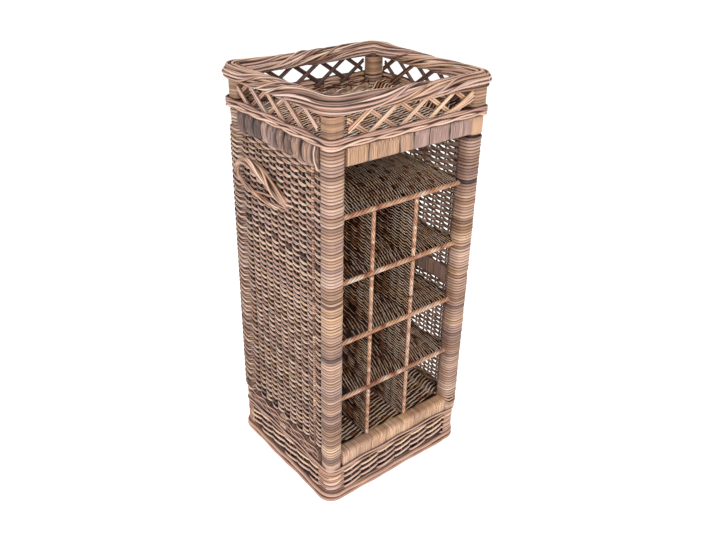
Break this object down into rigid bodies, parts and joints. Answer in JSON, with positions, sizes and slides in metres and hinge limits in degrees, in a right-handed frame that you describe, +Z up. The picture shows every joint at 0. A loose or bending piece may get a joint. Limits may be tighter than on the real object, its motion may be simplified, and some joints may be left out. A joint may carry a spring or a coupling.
{
  "type": "wine rack",
  "caption": "Upright wickerwork rack with woven bottle cells behind an open front, an open shelf bay above them and a fenced tray on top.",
  "frame": {"origin": "middle of the rack's footprint, on the surface it stands on", "axes": "+Z up, front (the open side) at -Y, +X to the right seen from the front"},
  "size_m": [0.4664, 0.396, 0.95],
  "materials": {
    "rattan_pole": "sanded rattan pole, matt",
    "wound_cane": "round rattan core wound turn by turn, greyed, satin",
    "rattan_peel": "flat rattan peel, smooth, satin",
    "kubu_weave": "grey-brown kubu rattan, woven in pairs, matt to satin",
    "kubu_border": "thick kubu rattan strands, laid and plaited, satin",
    "inner_weave": "darker rattan core, closely woven, matt"
  },
  "bodies": {
    "root": {"post_pole_front_left": "rattan_pole", "post_wrap_front_left": "wound_cane", "gallery_cane_front_left": "rattan_peel", "post_pole_front_right": "rattan_pole", "post_wrap_front_right": "wound_cane", "gallery_cane_front_right": "rattan_peel", "post_pole_rear_left": "rattan_pole", "post_wrap_rear_left": "wound_cane", "gallery_cane_rear_left": "rattan_peel", "post_pole_rear_right": "rattan_pole", "post_wrap_rear_right": "wound_cane", "gallery_cane_rear_right": "rattan_peel", "foot_border": "kubu_border", "base_skirt": "kubu_weave", "bottom_rail_rod_front": "rattan_pole", "bottom_rail_wrap_front": "rattan_peel", "bottom_rail_rod_rear": "rattan_pole", "bottom_rail_wrap_rear": "rattan_peel", "bottom_rail_rod_left": "rattan_pole", "bottom_rail_wrap_left": "rattan_peel", "bottom_rail_rod_right": "rattan_pole", "bottom_rail_wrap_right": "rattan_peel", "top_rail_rod_front": "rattan_pole", "top_rail_wrap_front": "rattan_peel", "top_rail_rod_rear": "rattan_pole", "top_rail_wrap_rear": "rattan_peel", "top_rail_rod_left": "rattan_pole", "top_rail_wrap_left": "rattan_peel", "top_rail_rod_right": "rattan_pole", "top_rail_wrap_right": "rattan_peel", "side_panel_left": "kubu_weave", "side_panel_right": "kubu_weave", "back_panel": "kubu_weave", "floor_panel": "inner_weave", "tray_deck": "inner_weave", "shelf_1": "inner_weave", "shelf_2": "inner_weave", "shelf_3": "inner_weave", "shelf_4": "inner_weave", "divider_1_left": "inner_weave", "divider_1_right": "inner_weave", "divider_2_left": "inner_weave", "divider_2_right": "inner_weave", "divider_3_left": "inner_weave", "divider_3_right": "inner_weave", "divider_4_left": "inner_weave", "divider_4_right": "inner_weave", "middle_rail_left": "rattan_peel", "middle_rail_right": "rattan_peel", "gallery_lattice_front": "kubu_border", "gallery_lattice_rear": "kubu_border", "gallery_lattice_left": "kubu_border", "gallery_lattice_right": "kubu_border", "gallery_band": "kubu_border", "gallery_rim": "kubu_border", "handle_left": "kubu_border", "handle_right": "kubu_border"}
  },
  "joints": []
}
